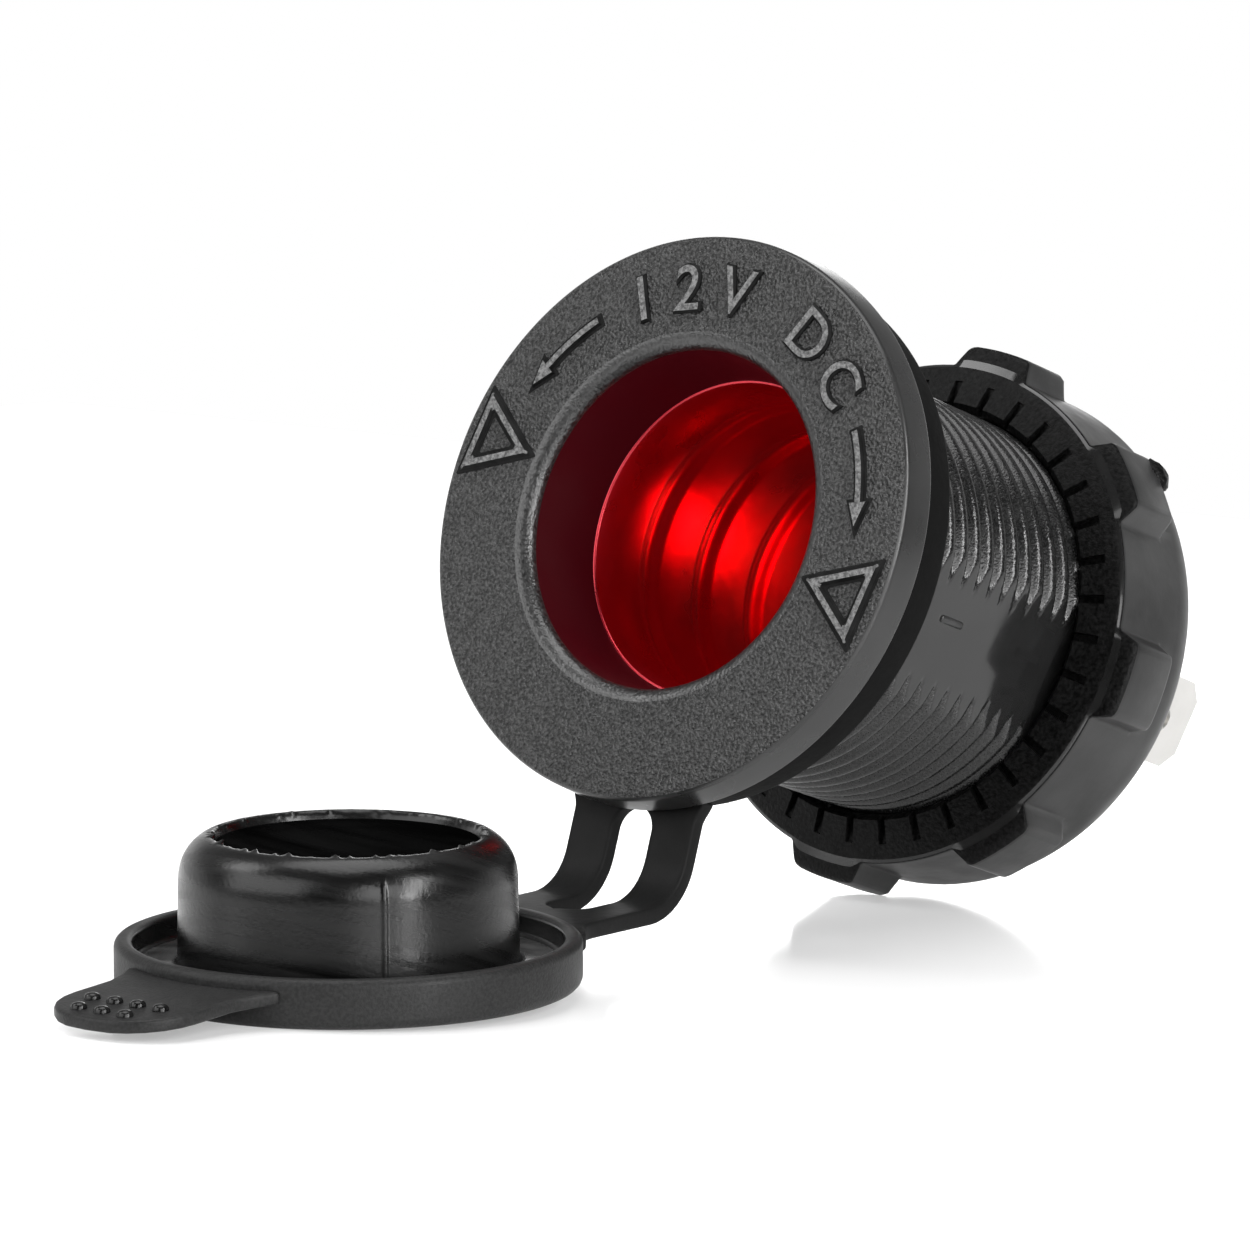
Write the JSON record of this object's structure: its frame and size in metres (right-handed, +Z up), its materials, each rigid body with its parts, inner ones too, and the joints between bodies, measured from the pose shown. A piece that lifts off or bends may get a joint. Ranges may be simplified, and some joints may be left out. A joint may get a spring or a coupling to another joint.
{
  "type": "panel power socket",
  "caption": "Panel-mounted 12 V accessory power socket with threaded barrel, lugged ring nut, lit mouth and rubber cap on a strap",
  "frame": {"origin": "On the barrel's axis, in the plane where the rubber ring's rear face meets the panel", "axes": "+Y along the barrel to the rear and the terminals, mouth towards -Y, +Z up, strap and cap on the -Z side"},
  "size_m": [0.038, 0.0938, 0.0611],
  "materials": {
    "black_plastic": "fine moulded grain",
    "black_rubber": "satin moulded rubber",
    "red_lens": "clear red, lit from behind",
    "plated_steel": "bright drawn nickel plate",
    "fibre": "dull pressed fibre",
    "plain_brass": "stamped",
    "tinned_brass": "dull tin plate",
    "board": "lacquered board",
    "lamp": "cast resin",
    "resistor": "glazed"
  },
  "bodies": {
    "socket": {"socket_body": "black_plastic", "gasket_ring": "black_rubber", "cap_strap": "black_rubber", "light_ring": "red_lens", "contact_sleeve": "plated_steel", "negative_rivet": "plated_steel", "insulator_disc": "fibre", "centre_contact": "plain_brass", "centre_rivet": "plain_brass", "positive_terminal": "tinned_brass", "negative_terminal": "tinned_brass", "led_board": "board", "led_lamp": "lamp", "led_resistor": "resistor", "lamp_leads": "tinned_brass"},
    "cap": {"closing_cap": "black_rubber"},
    "nut": {"ring_nut": "black_plastic"}
  },
  "joints": [
    {"name": "cap_hinge", "type": "hinge", "parent": "socket", "child": "cap", "pos_m": [0, -0.00604, -0.02367], "axis": [-1, 0, 0], "range_deg": [-70.5, 109.5], "stiffness_Nm_per_rad": 0.02, "deforming": ["cap_strap"]},
    {"name": "nut_travel", "type": "slide", "parent": "socket", "child": "nut", "axis": [0, 1, 0], "range_m": [-0.0196, 0.0245]}
  ]
}
